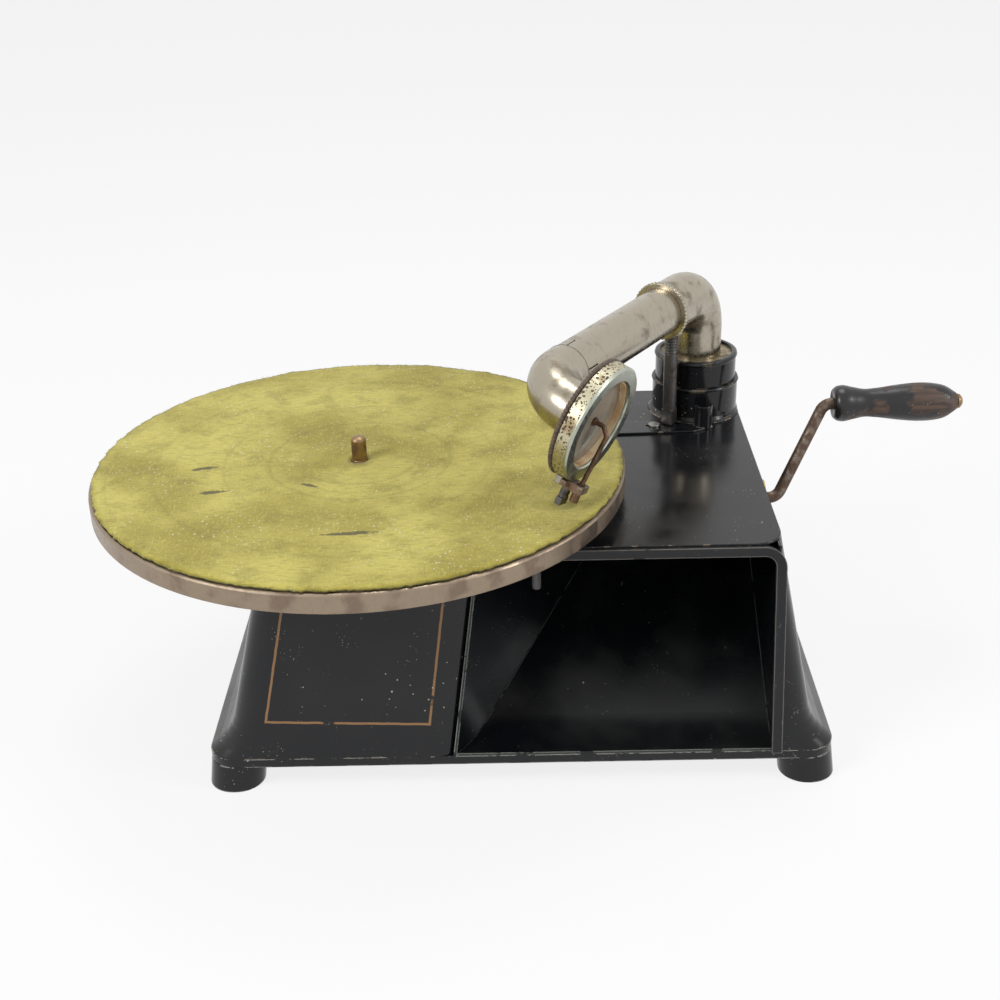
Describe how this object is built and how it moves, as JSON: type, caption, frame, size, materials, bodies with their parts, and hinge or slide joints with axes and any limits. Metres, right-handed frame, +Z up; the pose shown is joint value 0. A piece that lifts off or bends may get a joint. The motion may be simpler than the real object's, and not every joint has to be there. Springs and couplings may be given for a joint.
{
  "type": "disc phonograph",
  "caption": "Small table-top disc phonograph: felt-covered turntable over a black case with a built-in horn mouth, swinging tone-arm with sound box, and a side winding crank.",
  "frame": {"origin": "middle of the whole object seen from above, on the ground plane under the feet", "axes": "+X to the crank side, +Y to the back, +Z up along the record spindle"},
  "size_m": [0.4345, 0.254, 0.2019],
  "materials": {
    "black_japan": "glossy black japanned steel, dusty and worn at the edges",
    "motor_steel": "dull oiled steel",
    "motor_brass": "dull brass",
    "nickel": "worn yellowed nickel plate",
    "platter_nickel": "tarnished nickel, brownish",
    "pale_nickel": "pale nickel with a green cast",
    "felt": "olive green felt, worn",
    "rubber": "dark aged rubber",
    "cream_rubber": "cream rubber tube",
    "mica": "grey mica sheet",
    "bronze_wire": "browned steel",
    "leather": "brown leather",
    "wood": "black painted wood, worn to brown",
    "crank_steel": "rusty brown steel rod",
    "spring_steel": "blued spring steel"
  },
  "bodies": {
    "case": {"case_shell": "black_japan", "base_ring": "black_japan", "corner_feet": "black_japan", "horn_left_wall": "black_japan", "horn_right_wall": "black_japan", "horn_floor": "black_japan", "mouth_hem": "black_japan", "pillar_base": "black_japan", "pillar_collar": "black_japan", "swivel_ring": "motor_brass", "motor_top_plate": "motor_steel", "motor_bottom_plate": "motor_steel", "motor_posts": "motor_steel", "motor_hangers": "motor_steel", "spindle_bearings": "motor_brass", "governor_brackets": "motor_steel", "crank_bracket": "motor_steel", "crank_bush": "motor_brass", "brake_guides": "motor_steel", "click_spring": "spring_steel"},
    "turntable": {"platter": "platter_nickel", "felt_mat": "felt", "platter_hub": "motor_steel", "spindle": "motor_steel", "worm_wheel": "motor_brass"},
    "second_wheel": {"second_shaft": "motor_steel", "second_gear": "motor_brass"},
    "mainspring_barrel": {"spring_barrel": "motor_steel", "barrel_cover": "motor_steel", "mainspring": "spring_steel"},
    "winding_arbor": {"winding_arbor": "motor_steel", "ratchet_wheel": "motor_steel", "crown_gear": "motor_steel"},
    "click": {"click": "motor_steel"},
    "governor": {"governor_shaft": "motor_steel", "governor_collars": "motor_brass", "governor_springs": "spring_steel", "governor_weights": "motor_brass"},
    "speed_lever": {"speed_lever": "motor_steel", "finger_pin": "motor_steel", "speed_shaft": "motor_steel", "friction_pad": "leather"},
    "brake": {"brake_plate": "black_japan", "brake_pad": "leather"},
    "crank": {"crank_rod": "crank_steel", "crank_pinion": "motor_steel", "handle_rivet": "motor_brass"},
    "crank_grip": {"crank_handle": "wood"},
    "tonearm": {"rear_elbow": "nickel", "tonearm_tube": "nickel", "stop_rod": "nickel"},
    "soundbox": {"front_elbow": "nickel", "isolator_ring": "rubber", "soundbox_case": "pale_nickel", "bezel_ring": "pale_nickel", "gaskets": "cream_rubber", "diaphragm": "mica", "needle_clamp": "pale_nickel"},
    "stylus_lever": {"needle_bar": "bronze_wire"},
    "thumbscrew": {"needle_screw": "pale_nickel"}
  },
  "joints": [
    {"name": "platter_spin", "type": "hinge", "parent": "case", "child": "turntable", "pos_m": [-0.09027, 0, 0.116], "axis": [0, 0, 1], "continuous": true},
    {"name": "second_wheel_spin", "type": "hinge", "parent": "case", "child": "second_wheel", "pos_m": [-0.0654, 0.01678, 0.108], "axis": [0, 0, 1], "continuous": true},
    {"name": "barrel_spin", "type": "hinge", "parent": "case", "child": "mainspring_barrel", "pos_m": [-0.05828, 0.05207, 0.066], "axis": [0, 0, 1], "continuous": true},
    {"name": "governor_spin", "type": "hinge", "parent": "case", "child": "governor", "pos_m": [-0.09027, -0.0173, 0.044], "axis": [1, 0, 0], "continuous": true},
    {"name": "crank_turn", "type": "hinge", "parent": "case", "child": "crank", "pos_m": [0.12051, 0.05207, 0.083], "axis": [1, 0, 0], "continuous": true},
    {"name": "winding_spin", "type": "hinge", "parent": "case", "child": "winding_arbor", "pos_m": [-0.05828, 0.05207, 0.108], "axis": [0, 0, 1], "continuous": true},
    {"name": "grip_spin", "type": "hinge", "parent": "crank", "child": "crank_grip", "pos_m": [0.15007, 0.07008, 0.12803], "axis": [1, 0, 0], "continuous": true},
    {"name": "click_lift", "type": "hinge", "parent": "case", "child": "click", "pos_m": [-0.08243, 0.05854, 0.102], "axis": [0, 0, 1], "range_deg": [0, 8]},
    {"name": "speed_turn", "type": "hinge", "parent": "case", "child": "speed_lever", "pos_m": [-0.03227, -0.036, 0.116], "axis": [0, 0, 1], "range_deg": [-10, 0]},
    {"name": "brake_slide", "type": "slide", "parent": "case", "child": "brake", "axis": [1, 0, 0], "range_m": [0, 0.0026]},
    {"name": "tonearm_swing", "type": "hinge", "parent": "case", "child": "tonearm", "pos_m": [0.08141, 0.09853, 0.1345], "axis": [0, 0, 1], "range_deg": [-30, 17]},
    {"name": "soundbox_tilt", "type": "hinge", "parent": "tonearm", "child": "soundbox", "pos_m": [-0.00547, -0.0361, 0.18299], "axis": [-0.5422, -0.8402, 0], "range_deg": [0, 115]},
    {"name": "stylus_rock", "type": "hinge", "parent": "soundbox", "child": "stylus_lever", "pos_m": [0.0122, -0.05741, 0.14389], "axis": [-0.4496, -0.8539, 0.2621], "range_deg": [-0.35, 0.35]},
    {"name": "thumbscrew_turn", "type": "hinge", "parent": "soundbox", "child": "thumbscrew", "pos_m": [0.00725, -0.05474, 0.1441], "axis": [-0.399, -0.0705, -0.9142], "continuous": true}
  ],
  "couplings": [
    {"joint": "second_wheel_spin", "follows": "platter_spin", "ratio": -0.25},
    {"joint": "barrel_spin", "follows": "platter_spin", "ratio": 0.05},
    {"joint": "governor_spin", "follows": "platter_spin", "ratio": -28},
    {"joint": "winding_spin", "follows": "crank_turn", "ratio": 0.5}
  ]
}
